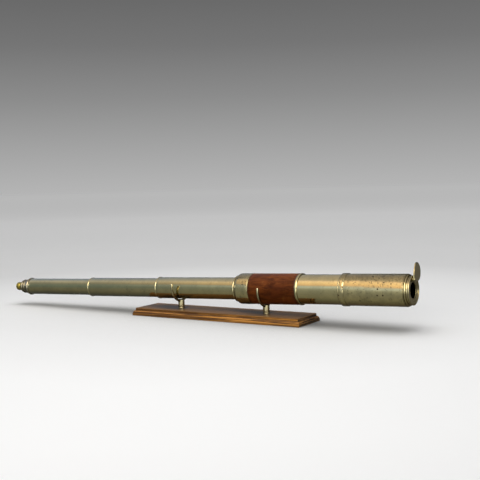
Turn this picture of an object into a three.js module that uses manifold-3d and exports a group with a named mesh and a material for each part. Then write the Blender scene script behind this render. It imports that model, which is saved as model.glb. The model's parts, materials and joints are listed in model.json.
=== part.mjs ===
// Three-draw brass telescope with a mahogany-covered barrel, lying in two brass cradles on an oak stand.
//
// Millimetres, +Z up. The origin is the middle of the stand's underside and +X points to the objective
// end. The telescope is built along its own axis: "station" is the distance along that axis from the
// stand's middle, growing towards the objective. The telescope group then tilts the whole axis, because
// the left cradle carries the thin third draw and the right cradle carries the thick barrel.
//
// Outlines are lists of [station, radius] points. Where a corner is only broken or chamfered, its point
// is written as an offset from the face or the radius that it belongs to.

import * as THREE from 'three';
import { mergeVertices } from 'three/addons/utils/BufferGeometryUtils.js';
import Module from 'manifold-3d';

const wasm = await Module();
wasm.setup();

// ------------------------------------------------------------------ driving dimensions

const GAP = 0.3; // clearance between two pieces that touch or slide
const SIDES = 24; // sides of every round telescope piece
const SMALL_SIDES = 16; // sides of screws and posts

// Stand.
const BASE = { length: 391, width: 88.5, height: 15.2, inset: 5, fascia: 4.6, chamfer: 0.6 };
const CRADLE_X = 101; // each cradle's distance from the stand's middle
const POST = { radius: 6.7, top: 32.4, chamfer: 0.8 };
const FORK = { rod: 2.5, saddle: 33.05, inner: 30.3, tip: 66.8 };
const POST_SCREW = { head: 4.2, headTop: 3.7, headDepth: 2.5, shank: 2, top: 24, slot: 0.9 };

// Barrel and what it carries.
const BARREL = { radius: 28.2, wall: 1, rear: 52.6, front: 290 };
const SLEEVE = { radius: 30, rear: 76.5, front: 178.2 };
const COLLAR = { rear: 38, front: 76.2, radius: 30.3, bushFront: 60, shoulder: 4 };
const COLLAR_BEAD = { middle: 2.4, height: 24.1, size: 2.3, neck: 24.6, neckRear: 4.9, neckFront: 7.3 };
const SLEEVE_RING = { rear: 178.5, front: 183.7, radius: 30.5 };
const CELL = { rear: 276, flangeRear: 290.3, front: 294.5, bore: 25.2, ledge: 23.6 };

// Draws: outer radius, wall, rear face of the end collar, length of the bush inside the tube.
const DRAW_3 = { radius: 22.0, wall: 0.9, rear: -154.2 };
const DRAW_2 = { radius: 19.9, wall: 0.8, rear: -339.2 };
const DRAW_1 = { radius: 17.74, wall: 0.8, rear: -517.2 };
const DRAW_COLLAR = { bead: 4, proud: 0.6, bush: 18 };
const STOP_RING = 7.5; // length of the guide ring soldered on a draw's front end

// Ray shade, end cap and shutter.
const SHADE = { radius: 29.6, wall: 0.7, rear: 267.5, tubeRear: 271.3, tubeFront: 392.5 };
const SHADE_RING = { radius: 30.7, front: 279.5, lip: 271 };
const SHADE_MOUTH = { bore: 26.2, spigotRear: 382, front: 397.6 };
const CAP = { plug: 25.9, plugRear: 385, flange: 27, flangeRear: 401.6, face: 404, aperture: 14.5 };
const CAP_RING = { outer: 24.6, inner: 20.4, step: 0.7 };
const SHUTTER = { pivot: 19.5, reach: 18.5, disc: 17, lug: 5, cut: 14.8, cutTurn: 100.8, turn: 42 };
const LEAF = { thick: 1.8, clearance: 0.5 };
const PIVOT_SCREW = { head: 2.7, headDepth: 1.3, shank: 1.3, slot: 0.7, boss: 3.4 };

// Eyepiece end of the first draw.
const EYE_CUP = { radius: 9.4, rear: -564, front: -548.3, bore: 7.3, hole: 3.2, floor: 5, groove: 0.8 };
const DRUM = { radius: 15.4, rear: -548, front: -526.3, bore: 11.8 };
const EYE_MOUNT = { radius: 19.5, rear: -526, front: -517.5, spigotFront: -505, bore: 13 };
const EYE_TUBE = { radius: 11.5, wall: 0.8, rear: -538.5, front: -488 };
const FIELD_STOP = { rear: -524, front: -522.5, hole: 6 };
const ERECTOR = { radius: 13, wall: 0.8, rear: -400, front: -310, flange: 7 };
const ERECTOR_STOP = { rear: -370, front: -368.5, hole: 3.5 };

// ------------------------------------------------------------------ worked-out dimensions

// Both saddles are level, so the axis tilts by the difference between the two radii that lie in them.
// The draw keeps room under it for its end collars, which pass over the left saddle when it closes.
const DRAW_REST = 1.35;
const axisAtRight = FORK.saddle + SLEEVE.radius + GAP;
const axisAtLeft = FORK.saddle + DRAW_3.radius + DRAW_REST;
const tilt = Math.atan2(axisAtRight - axisAtLeft, 2 * CRADLE_X);
const axisAtMiddle = (axisAtRight + axisAtLeft) / 2;

const radians = THREE.MathUtils.degToRad;

// ------------------------------------------------------------------ materials

const material = (color, roughness, metalness) => () =>
  new THREE.MeshStandardMaterial({ color, roughness, metalness });

const agedBrass = material(0x8f8355, 0.34, 1);
const paleBrass = material(0xa89c6a, 0.36, 1);
const yellowBrass = material(0xb8923c, 0.3, 1);
const blackedBrass = material(0x2a2721, 0.7, 0.6);
const mahogany = material(0x5f2a14, 0.38, 0);
const oak = material(0x8a5726, 0.5, 0);
const glass = material(0xcfe0dc, 0.05, 0);

// ------------------------------------------------------------------ geometry helpers

function signedArea(points) {
  let area = 0;
  points.forEach(([s, r], i) => {
    const [s2, r2] = points[(i + 1) % points.length];
    area += (s * r2 - s2 * r) / 2;
  });
  return area;
}

// Turns an outline of [station, radius] points round the X axis. An outline that touches the axis stays
// open there; any other one is closed on itself.
function revolve(outline, sides = SIDES) {
  const points = signedArea(outline) > 0 ? [...outline].reverse() : [...outline];
  const onAxis = points.findIndex(([, r]) => r === 0);
  if (onAxis < 0) {
    points.push(points[0]);
  } else {
    while (points[0][1] !== 0 || points[points.length - 1][1] !== 0) {
      points.push(points.shift());
    }
  }
  const lathe = new THREE.LatheGeometry(points.map(([s, r]) => new THREE.Vector2(r, s)), sides);
  return lathe.rotateZ(-Math.PI / 2);
}

const tube = (rear, front, inner, outer) =>
  revolve([[rear, inner], [rear, outer], [front, outer], [front, inner]]);

// Points of an arc in the outline's plane, angles in degrees from the station direction.
function arc(station, radius, size, from, to, steps) {
  return Array.from({ length: steps + 1 }, (_, i) => {
    const angle = radians(from + ((to - from) * i) / steps);
    return [station + size * Math.cos(angle), radius + size * Math.sin(angle)];
  });
}

// One face of a lens, from the axis out to the rim. A positive bulge pushes the middle towards +X.
function lensFace(rimStation, rim, bulge, steps = 4) {
  const size = (rim * rim + bulge * bulge) / (2 * Math.abs(bulge));
  return Array.from({ length: steps + 1 }, (_, i) => {
    const radius = (rim * i) / steps;
    const drop = size - Math.sqrt(size * size - radius * radius);
    return [rimStation + bulge - Math.sign(bulge) * drop, radius];
  });
}

function lens(rim, rear, rearBulge, front, frontBulge) {
  const rearFace = rearBulge === 0 ? [[rear, 0], [rear, rim]] : lensFace(rear, rim, rearBulge);
  const frontFace = frontBulge === 0 ? [[front, 0], [front, rim]] : lensFace(front, rim, frontBulge);
  return revolve([...rearFace, ...frontFace.reverse()]);
}

function solidOf(geometry) {
  const bare = geometry.clone();
  bare.deleteAttribute('normal');
  bare.deleteAttribute('uv');
  const merged = mergeVertices(bare, 1e-4);
  const source = merged.index.array;
  const triangles = [];
  for (let i = 0; i < source.length; i += 3) {
    const [a, b, c] = source.slice(i, i + 3);
    if (a !== b && b !== c && c !== a) triangles.push(a, b, c);
  }
  const mesh = new wasm.Mesh({
    numProp: 3,
    vertProperties: Float32Array.from(merged.attributes.position.array),
    triVerts: Uint32Array.from(triangles),
  });
  return new wasm.Manifold(mesh);
}

function geometryOf(solid) {
  const mesh = solid.getMesh();
  const geometry = new THREE.BufferGeometry();
  geometry.setAttribute('position', new THREE.BufferAttribute(Float32Array.from(mesh.vertProperties), 3));
  geometry.setIndex(Array.from(mesh.triVerts));
  geometry.computeVertexNormals();
  return geometry;
}

const without = (geometry, ...cuts) =>
  geometryOf(cuts.reduce((solid, cut) => solid.subtract(solidOf(cut)), solidOf(geometry)));

const joined = (...pieces) =>
  geometryOf(pieces.slice(1).reduce((solid, piece) => solid.add(solidOf(piece)), solidOf(pieces[0])));

// A cylinder standing between two heights.
function upright(radius, bottom, top, sides = SMALL_SIDES) {
  const cylinder = new THREE.CylinderGeometry(radius, radius, top - bottom, sides);
  return cylinder.rotateX(Math.PI / 2).translate(0, 0, (bottom + top) / 2);
}

// A cylinder lying along X between two stations.
function lying(radius, rear, front, sides = SMALL_SIDES) {
  const cylinder = new THREE.CylinderGeometry(radius, radius, front - rear, sides);
  return cylinder.rotateZ(-Math.PI / 2).translate((rear + front) / 2, 0, 0);
}

function piece(name, geometry, finish) {
  const mesh = new THREE.Mesh(geometry, finish());
  mesh.name = name;
  return mesh;
}

// ------------------------------------------------------------------ stand

// The board's moulded edge, as [inset from the outer edge, height] from the underside up:
// a lower fascia, a cove and an upper fascia.
function boardEdge() {
  const { height, inset, fascia, chamfer } = BASE;
  const coveSteps = 3;
  const cove = Array.from({ length: coveSteps + 1 }, (_, i) => {
    const turn = (Math.PI / 2) * (i / coveSteps);
    return [inset * (1 - Math.cos(turn)) * 0.8 + chamfer, inset + inset * Math.sin(turn)];
  });
  return [
    [chamfer, 0], [0, chamfer], [0, fascia],
    ...cove,
    [inset, height - fascia], [inset, height - chamfer], [inset + chamfer, height],
  ];
}

// A square turned from four sides, then drawn apart to the board's length, keeps equal insets all round.
function boardGeometry() {
  const { width, length, height } = BASE;
  const half = width / 2;
  const edge = boardEdge().map(([inset, z]) => new THREE.Vector2((half - inset) * Math.SQRT2, z));
  const outline = [new THREE.Vector2(0, 0), ...edge, new THREE.Vector2(0, height)];
  const lathe = new THREE.LatheGeometry(outline, 4);
  lathe.rotateX(Math.PI / 2).rotateZ(Math.PI / 4);
  const position = lathe.attributes.position;
  const stretch = (length - width) / 2;
  for (let i = 0; i < position.count; i += 1) {
    const x = position.getX(i);
    if (Math.abs(x) > 1) position.setX(i, x + Math.sign(x) * stretch);
  }
  return lathe;
}

function screwHole(x) {
  const head = upright(POST_SCREW.head + GAP, -1, POST_SCREW.headTop + GAP);
  const shank = upright(POST_SCREW.shank + GAP, 1, BASE.height + 1);
  return joined(head, shank).translate(x, 0, 0);
}

// The fork's rod: a vertical arm, half a turn under the telescope, and the other arm.
class ForkPath extends THREE.Curve {
  getPoint(t) {
    const radius = FORK.inner + FORK.rod;
    const centre = FORK.saddle + FORK.inner;
    const arm = FORK.tip - centre;
    const bend = Math.PI * radius;
    const along = t * (2 * arm + bend);
    if (along < arm) return new THREE.Vector3(0, -radius, centre + arm - along);
    if (along > arm + bend) return new THREE.Vector3(0, radius, centre + along - arm - bend);
    const angle = Math.PI + (along - arm) / radius;
    return new THREE.Vector3(0, radius * Math.cos(angle), centre + radius * Math.sin(angle));
  }
}

function forkGeometry() {
  const section = new THREE.Shape().absarc(0, 0, FORK.rod, 0, 2 * Math.PI);
  const sweep = { steps: 22, curveSegments: 4, extrudePath: new ForkPath() };
  const rod = new THREE.ExtrudeGeometry(section, sweep);
  const tips = [-1, 1].map((side) =>
    new THREE.SphereGeometry(FORK.rod, 8, 6)
      .rotateX(Math.PI / 2)
      .translate(0, side * (FORK.inner + FORK.rod), FORK.tip));
  return joined(rod, ...tips);
}

// A turned post with a groove across its top where the fork is let in, and a hole for its screw.
function postGeometry() {
  const { radius, top, chamfer } = POST;
  const outline = [[BASE.height, 0], [BASE.height, radius - chamfer], [BASE.height + chamfer, radius],
    [top - chamfer, radius], [top, radius - chamfer], [top, 0]];
  const body = revolve(outline, SMALL_SIDES).rotateY(-Math.PI / 2);
  const grooveRadius = FORK.rod + GAP;
  const rodCentre = FORK.saddle - FORK.rod;
  const mouthHeight = 6;
  const groove = new THREE.CylinderGeometry(grooveRadius, grooveRadius, 4 * radius, SMALL_SIDES)
    .translate(0, 0, rodCentre);
  const mouth = new THREE.BoxGeometry(2 * grooveRadius, 4 * radius, mouthHeight)
    .translate(0, 0, rodCentre + mouthHeight / 2);
  const screwHoleInPost = upright(POST_SCREW.shank + GAP, BASE.height - 1, POST_SCREW.top + 1);
  return without(without(body, groove, mouth), screwHoleInPost);
}

function postScrewGeometry() {
  const { head, headTop, headDepth, shank, top, slot } = POST_SCREW;
  const bottom = headTop - headDepth;
  const screw = joined(upright(head, bottom, headTop), upright(shank, headTop - 1, top));
  return without(screw, new THREE.BoxGeometry(4 * head, slot, 1.6).translate(0, 0, bottom));
}

function standPieces() {
  const board = without(boardGeometry(), screwHole(-CRADLE_X), screwHole(CRADLE_X));
  const pieces = [piece('base_board', board, oak)];
  for (const [side, x] of [['left', -CRADLE_X], ['right', CRADLE_X]]) {
    const set = [
      piece(`post_${side}`, postGeometry(), paleBrass),
      piece(`fork_${side}`, forkGeometry(), paleBrass),
      piece(`post_screw_${side}`, postScrewGeometry(), paleBrass),
    ];
    set.forEach((mesh) => mesh.position.setX(x));
    pieces.push(...set);
  }
  return pieces;
}

// ------------------------------------------------------------------ barrel

// Rear collar: a bead, a groove and a rounded shoulder outside; a skirt over the tube, a locating step
// inside the tube and the bush for the third draw.
function rearCollarGeometry() {
  const { rear, front, radius, bushFront, shoulder } = COLLAR;
  const { middle, height, size, neck, neckRear, neckFront } = COLLAR_BEAD;
  const bore = DRAW_3.radius + GAP;
  const seat = BARREL.rear - GAP;
  const shoulderCentre = rear + neckFront + 0.2 + shoulder;
  const outside = [
    [rear, bore], [rear, height],
    ...arc(rear + middle, height, size, 165, 15, 4),
    [rear + neckRear, neck], [rear + neckFront, neck],
    ...arc(shoulderCentre, radius - shoulder, shoulder, 180, 90, 4),
    [front, radius],
  ];
  const skirt = BARREL.radius + GAP;
  const step = BARREL.radius - BARREL.wall - GAP;
  const inside = [[front, skirt], [seat, skirt], [seat, step], [bushFront, step], [bushFront, bore]];
  return revolve([...outside, ...inside]);
}

function sleeveRingGeometry() {
  const { rear, front, radius } = SLEEVE_RING;
  const bore = BARREL.radius + GAP;
  return revolve([
    [rear, bore], [rear, radius - 0.8], [rear + 1.2, radius],
    [front - 1.2, radius], [front, radius - 0.8], [front, bore],
  ]);
}

function objectiveCellGeometry() {
  const { rear, flangeRear, front, bore, ledge } = CELL;
  const spigot = BARREL.radius - BARREL.wall - GAP;
  return revolve([
    [rear, ledge], [rear, spigot], [flangeRear, spigot], [flangeRear, BARREL.radius],
    [front - 0.8, BARREL.radius], [front, BARREL.radius - 0.8], [front, bore],
    [rear + 2.5, bore], [rear + 2.5, ledge],
  ]);
}

function barrelPieces() {
  const { radius, wall, rear, front } = BARREL;
  const rim = CELL.bore - GAP;
  const seat = CELL.rear + 2.5 + GAP;
  return [
    piece('barrel_tube', tube(rear, front, radius - wall, radius), agedBrass),
    piece('mahogany_sleeve', tube(SLEEVE.rear, SLEEVE.front, radius + GAP, SLEEVE.radius), mahogany),
    piece('rear_collar', rearCollarGeometry(), agedBrass),
    piece('sleeve_ring', sleeveRingGeometry(), agedBrass),
    piece('objective_cell', objectiveCellGeometry(), agedBrass),
    piece('flint_lens', lens(rim, seat, 0, seat + 5.5, -3.5), glass),
    piece('crown_lens', lens(rim, seat + 5.9, -3.5, seat + 7.6, 2.6), glass),
    piece('objective_retaining_ring', tube(seat + 8.6, seat + 11.6, CELL.ledge, rim), blackedBrass),
  ];
}

// ------------------------------------------------------------------ draws

// Collar on a draw's rear end: a rounded bead outside the tube and a bush inside it, for the next draw.
function drawCollarGeometry(draw, next) {
  const { bead, proud, bush } = DRAW_COLLAR;
  const bore = next.radius + GAP;
  const top = draw.radius + proud;
  const inTube = draw.radius - draw.wall - GAP;
  return revolve([
    [draw.rear, bore], [draw.rear, top - 1], [draw.rear + 0.8, top], [draw.rear + bead - 1, top],
    [draw.rear + bead, top - 0.7], [draw.rear + bead, inTube],
    [draw.rear + bead + bush, inTube], [draw.rear + bead + bush, bore],
  ]);
}

// A draw tube with its end collar, and the guide ring that stops it against the bush it slides in.
function drawPieces(name, draw, next, stopAt, guideBore) {
  const tubeRear = draw.rear + DRAW_COLLAR.bead + GAP;
  const ringRear = stopAt + 0.5;
  const front = ringRear + STOP_RING;
  return [
    piece(`${name}_tube`, tube(tubeRear, front, draw.radius - draw.wall, draw.radius), agedBrass),
    piece(`${name}_collar`, drawCollarGeometry(draw, next), agedBrass),
    piece(`${name}_guide_ring`, tube(ringRear, front, draw.radius + GAP, guideBore - GAP), blackedBrass),
  ];
}

const bushFrontOf = (draw) => draw.rear + DRAW_COLLAR.bead + DRAW_COLLAR.bush;
const boreOf = (draw) => draw.radius - draw.wall;

// ------------------------------------------------------------------ first draw and eyepiece

function eyeMountGeometry() {
  const { radius, rear, front, spigotFront, bore } = EYE_MOUNT;
  const spigot = boreOf(DRAW_1) - GAP;
  return revolve([
    [rear, bore], [rear, radius - 2.6], ...arc(rear + 4.2, radius - 3, 3, 150, 20, 5),
    [front, DRAW_1.radius + 0.2], [front, spigot], [spigotFront, spigot], [spigotFront, bore],
  ]);
}

function drumGeometry() {
  const { radius, rear, front, bore } = DRUM;
  const seat = EYE_CUP.front + 8.6;
  return revolve([
    [rear, EYE_CUP.radius - 0.9], [rear, 11.6], [rear + 1.4, 12.6], [rear + 3.4, 14.4],
    ...arc(rear + 6.4, radius - 1.9, 1.9, 150, 20, 3),
    [rear + 9.4, radius - 1.3], [rear + 11, radius - 1.3],
    ...arc(rear + 13.6, radius - 1.6, 2, 160, 30, 3),
    [front - 3.4, radius], [front, radius + 1.2], [front, bore],
    [seat, bore], [seat, EYE_CUP.radius - 0.9],
  ]);
}

// The eye cup: a dished end round the eye hole, one turned groove, and the seat for the eye lens.
function eyeCupGeometry() {
  const { radius, rear, front, bore, hole, floor, groove } = EYE_CUP;
  const spigot = radius - 0.9 - GAP;
  const tail = front + 8;
  const bottom = radius - groove;
  return revolve([
    [rear + 3.2, hole], [rear, bore - 0.4], [rear, radius - 1], [rear + 1.2, radius],
    [rear + 9.2, radius], [rear + 9.8, bottom], [rear + 10.8, bottom], [rear + 11.4, radius],
    [front, radius], [front, spigot], [tail, spigot], [tail, bore],
    [rear + floor, bore], [rear + floor, hole],
  ]);
}

function erectorTubeGeometry() {
  const { radius, wall, rear, front } = ERECTOR;
  const flangeRear = front - ERECTOR.flange;
  const flange = boreOf(DRAW_1) - GAP;
  return revolve([
    [rear, radius - wall], [rear, radius], [flangeRear, radius], [flangeRear, flange],
    [front, flange], [front, radius - wall],
  ]);
}

function firstDrawPieces() {
  const ringRear = bushFrontOf(DRAW_2) + 0.5;
  const ringFront = ringRear + STOP_RING;
  const ringRadius = boreOf(DRAW_2) - GAP;
  const { radius } = DRAW_1;
  return [
    piece('draw_1_tube', tube(DRAW_1.rear, ringFront, boreOf(DRAW_1), radius), agedBrass),
    piece('draw_1_guide_ring', tube(ringRear, ringFront, radius + GAP, ringRadius), blackedBrass),
    piece('eyepiece_mount', eyeMountGeometry(), agedBrass),
    piece('eyepiece_drum', drumGeometry(), agedBrass),
    piece('eye_cup', eyeCupGeometry(), yellowBrass),
  ];
}

// The eye lens under its ring, the field stop, and the field lens at the front of the eyepiece tube.
function eyepieceOptics() {
  const { radius, wall, rear, front } = EYE_TUBE;
  const eyeRim = EYE_CUP.bore - GAP;
  const eyeSeat = EYE_CUP.rear + EYE_CUP.floor + GAP;
  const fieldRim = radius - wall - GAP;
  const fieldStop = tube(FIELD_STOP.rear, FIELD_STOP.front, FIELD_STOP.hole, fieldRim);
  const fieldRing = tube(front - 2.6, front - 0.6, fieldRim - 1.8, fieldRim);
  return [
    piece('eye_lens', lens(eyeRim, eyeSeat, 0, eyeSeat + 1.4, 1.8), glass),
    piece('eye_lens_ring', tube(eyeSeat + 3.6, eyeSeat + 6, eyeRim - 1.6, eyeRim), blackedBrass),
    piece('eyepiece_tube', tube(rear, front, radius - wall, radius), blackedBrass),
    piece('field_stop', fieldStop, blackedBrass),
    piece('field_lens', lens(fieldRim, front - 7, 0, front - 5.4, 2.4), glass),
    piece('field_lens_ring', fieldRing, blackedBrass),
  ];
}

// The relay that turns the image upright: two lenses with a stop between them, in their own tube.
function erectorPieces() {
  const { radius, wall, rear, front } = ERECTOR;
  const rim = radius - wall - GAP;
  const stop = tube(ERECTOR_STOP.rear, ERECTOR_STOP.front, ERECTOR_STOP.hole, rim);
  return [
    piece('erector_tube', erectorTubeGeometry(), blackedBrass),
    piece('erector_rear_lens', lens(rim, rear + 4, 0, rear + 5.6, 2.2), glass),
    piece('erector_stop', stop, blackedBrass),
    piece('erector_front_lens', lens(rim, front - 8, -2.2, front - 6.4, 0), glass),
  ];
}

// ------------------------------------------------------------------ ray shade

function shadeRearRingGeometry() {
  const { radius, front, lip } = SHADE_RING;
  const slide = BARREL.radius + GAP;
  const over = SHADE.radius + GAP;
  return revolve([
    [SHADE.rear, slide], [SHADE.rear, radius - 1], [SHADE.rear + 1.2, radius],
    [front - 1, radius], [front, radius - 0.6], [front, over], [lip, over], [lip, slide],
  ]);
}

// The shade's mouth: a spigot inside the tube, an outer corner and one bead.
function shadeMouthGeometry() {
  const { bore, spigotRear, front } = SHADE_MOUTH;
  const spigot = SHADE.radius - SHADE.wall - GAP;
  const corner = SHADE.tubeFront + GAP;
  return revolve([
    [spigotRear, bore], [spigotRear, spigot], [corner, spigot], [corner, SHADE.radius],
    [corner + 1, SHADE.radius], [corner + 1.5, 27.9],
    ...arc(corner + 3, 27.2, 1.5, 150, 20, 4),
    [front, 27.2], [front, bore],
  ]);
}

function shadePieces() {
  const { radius, wall, tubeRear, tubeFront } = SHADE;
  return [
    piece('shade_tube', tube(tubeRear, tubeFront, radius - wall, radius), agedBrass),
    piece('shade_rear_ring', shadeRearRingGeometry(), agedBrass),
    piece('shade_mouth', shadeMouthGeometry(), agedBrass),
  ];
}

// ------------------------------------------------------------------ end cap and shutter

// The cap: a thin plug inside the shade's mouth, a neck bead, a flange and a face that steps down in
// two rings to the round aperture.
function capGeometry() {
  const { plug, plugRear, flange, flangeRear, face, aperture } = CAP;
  const { outer, inner, step } = CAP_RING;
  const neck = SHADE_MOUTH.front + GAP;
  const back = flangeRear - 1;
  const bore = plug - 1.1;
  const firstStep = face - step;
  const secondStep = face - 1.3;
  const bossFront = face + LEAF.clearance - GAP;
  const body = revolve([
    [plugRear, bore], [plugRear, plug], [neck, plug],
    ...arc(neck + 1.5, 25, 1.3, 140, 30, 3),
    [flangeRear, 25.4], [flangeRear, flange - 0.6], [flangeRear + 0.6, flange], [face - 0.5, flange],
    [face, flange - 0.5], [face, outer], [firstStep, outer - 0.6], [firstStep, inner],
    [secondStep, inner - 0.6], [secondStep, aperture + 1.4], [face - 2, aperture],
    [back, aperture], [back, bore],
  ]);
  const boss = lying(PIVOT_SCREW.boss, face - 2, bossFront).translate(0, 0, SHUTTER.pivot);
  const hole = lying(PIVOT_SCREW.shank + GAP, back - 1, face + 1).translate(0, 0, SHUTTER.pivot);
  return without(joined(body, boss), hole);
}

// The leaf: a disc that covers the aperture, a lug round the pivot, and one straight side.
function shutterGeometry() {
  const { reach, disc, lug, cut, cutTurn, turn, pivot } = SHUTTER;
  const half = THREE.MathUtils.radToDeg(Math.acos(cut / disc));
  const onDisc = (angle) => [reach + disc * Math.cos(radians(angle)), disc * Math.sin(radians(angle))];
  const onLug = (angle) => [lug * Math.cos(radians(angle)), lug * Math.sin(radians(angle))];
  const waist = cutTurn + half;
  const outline = new THREE.Shape();
  outline.moveTo(...onLug(120));
  outline.lineTo(...onDisc(waist));
  outline.lineTo(...onDisc(cutTurn - half));
  outline.absarc(reach, 0, disc, radians(cutTurn - half), radians(-waist), true);
  outline.lineTo(...onLug(-120));
  outline.absarc(0, 0, lug, radians(-120), radians(-240), true);
  const hole = new THREE.Path().absarc(0, 0, PIVOT_SCREW.shank + GAP, 0, 2 * Math.PI, false);
  outline.holes.push(hole);
  const plate = { depth: LEAF.thick, bevelEnabled: false, curveSegments: 18 };
  const leaf = new THREE.ExtrudeGeometry(outline, plate);
  leaf.rotateZ(radians(turn)).rotateX(Math.PI / 2).rotateZ(Math.PI / 2);
  return leaf.translate(CAP.face + LEAF.clearance, 0, pivot);
}

function pivotScrewGeometry() {
  const { head, headDepth, shank } = PIVOT_SCREW;
  const under = CAP.face + LEAF.clearance + LEAF.thick + GAP;
  const headSolid = lying(head, under, under + headDepth);
  const shankSolid = lying(shank, CAP.flangeRear - 0.9, under + 0.5);
  const slot = new THREE.BoxGeometry(1, 4 * head, PIVOT_SCREW.slot)
    .translate(under + headDepth + 0.1, 0, 0);
  return without(joined(headSolid, shankSolid), slot).translate(0, 0, SHUTTER.pivot);
}

function capPieces() {
  return [
    piece('cap_body', capGeometry(), agedBrass),
    piece('shutter_pivot_screw', pivotScrewGeometry(), agedBrass),
    piece('shutter_leaf', shutterGeometry(), agedBrass),
  ];
}

// ------------------------------------------------------------------ assembly

const telescope = new THREE.Group();
telescope.position.z = axisAtMiddle;
telescope.rotation.y = -tilt;
telescope.add(
  ...barrelPieces(),
  ...drawPieces('draw_3', DRAW_3, DRAW_2, COLLAR.bushFront, boreOf(BARREL)),
  ...drawPieces('draw_2', DRAW_2, DRAW_1, bushFrontOf(DRAW_3), boreOf(DRAW_3)),
  ...firstDrawPieces(),
  ...eyepieceOptics(),
  ...erectorPieces(),
  ...shadePieces(),
  ...capPieces(),
);

const assembly = new THREE.Group();
assembly.add(...standPieces(), telescope);

export default assembly;
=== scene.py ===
"""The looks of a three-draw brass telescope lying on its oak stand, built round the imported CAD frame.

Turned pieces are lathed in the telescope's own frame: station, the distance along the axis from the
stand's middle, and radius. Their outlines come from the CAD nodes, with rounded corners, turned lines
and slightly uneven walls. Lengths are in millimetres until a mesh is written, which is in metres.
"""

import json
import math

import bmesh
import bpy
from mathutils import Matrix, Vector, noise


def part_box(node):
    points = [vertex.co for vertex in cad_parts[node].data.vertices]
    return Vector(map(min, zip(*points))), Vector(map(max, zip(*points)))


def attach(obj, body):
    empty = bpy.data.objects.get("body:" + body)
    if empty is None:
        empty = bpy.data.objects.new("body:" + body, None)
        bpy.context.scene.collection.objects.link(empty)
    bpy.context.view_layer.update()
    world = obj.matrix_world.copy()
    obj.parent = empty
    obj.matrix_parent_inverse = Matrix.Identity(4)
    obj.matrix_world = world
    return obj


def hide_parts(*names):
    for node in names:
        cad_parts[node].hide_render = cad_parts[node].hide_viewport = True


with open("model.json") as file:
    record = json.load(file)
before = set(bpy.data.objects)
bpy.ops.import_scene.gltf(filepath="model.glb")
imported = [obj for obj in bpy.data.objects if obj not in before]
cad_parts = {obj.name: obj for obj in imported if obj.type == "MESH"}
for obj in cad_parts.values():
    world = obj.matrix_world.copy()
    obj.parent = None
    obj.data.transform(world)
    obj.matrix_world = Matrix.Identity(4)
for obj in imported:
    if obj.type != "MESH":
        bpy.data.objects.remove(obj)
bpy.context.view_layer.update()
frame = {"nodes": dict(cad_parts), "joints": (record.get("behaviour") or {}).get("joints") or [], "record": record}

MM = 0.001
BODY_OF = {node: body for body, nodes in frame["record"]["behaviour"]["bodies"].items() for node in nodes}
JOINTS = {joint["name"]: joint for joint in frame["joints"]}

# ---------------------------------------------------------------------------- the telescope's frame

AXIS = Vector(JOINTS["draw_3_slide"]["axis"]).normalized()
ACROSS = Vector((0, 1, 0))
ABOVE = AXIS.cross(ACROSS)


def place(origin, x_axis, y_axis, z_axis):
    turn = Matrix((x_axis, y_axis, z_axis)).transposed().to_4x4()
    return Matrix.Translation(origin) @ turn


def telescope_place():
    """The telescope's frame: X along its axis, with station 0 over the stand's middle."""
    low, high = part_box("barrel_tube")
    middle = (low + high) / 2
    return place(middle - AXIS * (middle.x / AXIS.x), AXIS, ACROSS, ABOVE)


TELESCOPE = telescope_place()


def standing_place(x):
    """A frame whose X axis stands upright at that x on the stand."""
    return place(Vector((x, 0, 0)), Vector((0, 0, 1)), ACROSS, Vector((-1, 0, 0)))


def middle_of(node):
    low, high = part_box(node)
    return (low + high) / 2


# ---------------------------------------------------------------------------- materials


class Nodes:
    """A node tree being made."""

    def __init__(self, tree):
        self.tree = tree
        self.coordinates = tree.nodes.new("ShaderNodeTexCoord")

    def node(self, kind, inputs=(), **settings):
        made = self.tree.nodes.new(kind)
        for name, value in settings.items():
            setattr(made, name, value)
        for socket, value in dict(inputs).items():
            self.feed(made.inputs[socket], value)
        return made

    def feed(self, socket, value):
        if isinstance(value, bpy.types.NodeSocket):
            self.tree.links.new(value, socket)
        else:
            socket.default_value = value

    def between(self, value, start, end, low=0.0, high=1.0):
        """Runs smoothly from low to high as the value goes from start to end."""
        inputs = {"Value": value, "From Min": start, "From Max": end, "To Min": low, "To Max": high}
        return self.node("ShaderNodeMapRange", inputs, interpolation_type="SMOOTHSTEP").outputs["Result"]

    def math(self, operation, first, second=0.0):
        return self.node("ShaderNodeMath", {0: first, 1: second}, operation=operation).outputs["Value"]

    def mixed(self, share, first, second, blend="MIX"):
        made = self.node("ShaderNodeMix", data_type="RGBA", blend_type=blend)
        for socket, value in zip((made.inputs[0], made.inputs[6], made.inputs[7]), (share, first, second)):
            self.feed(socket, value)
        return made.outputs[2]

    def ramp(self, value, stops):
        """A colour that runs through the (place, colour) stops as the value goes from 0 to 1."""
        made = self.node("ShaderNodeValToRGB", {"Fac": value})
        elements = made.color_ramp.elements
        elements.remove(elements[-1])
        for i, (at, colour) in enumerate(stops):
            element = elements[0] if i == 0 else elements.new(at)
            element.position = at
            element.color = rgb(*colour)
        return made.outputs["Color"]


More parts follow.
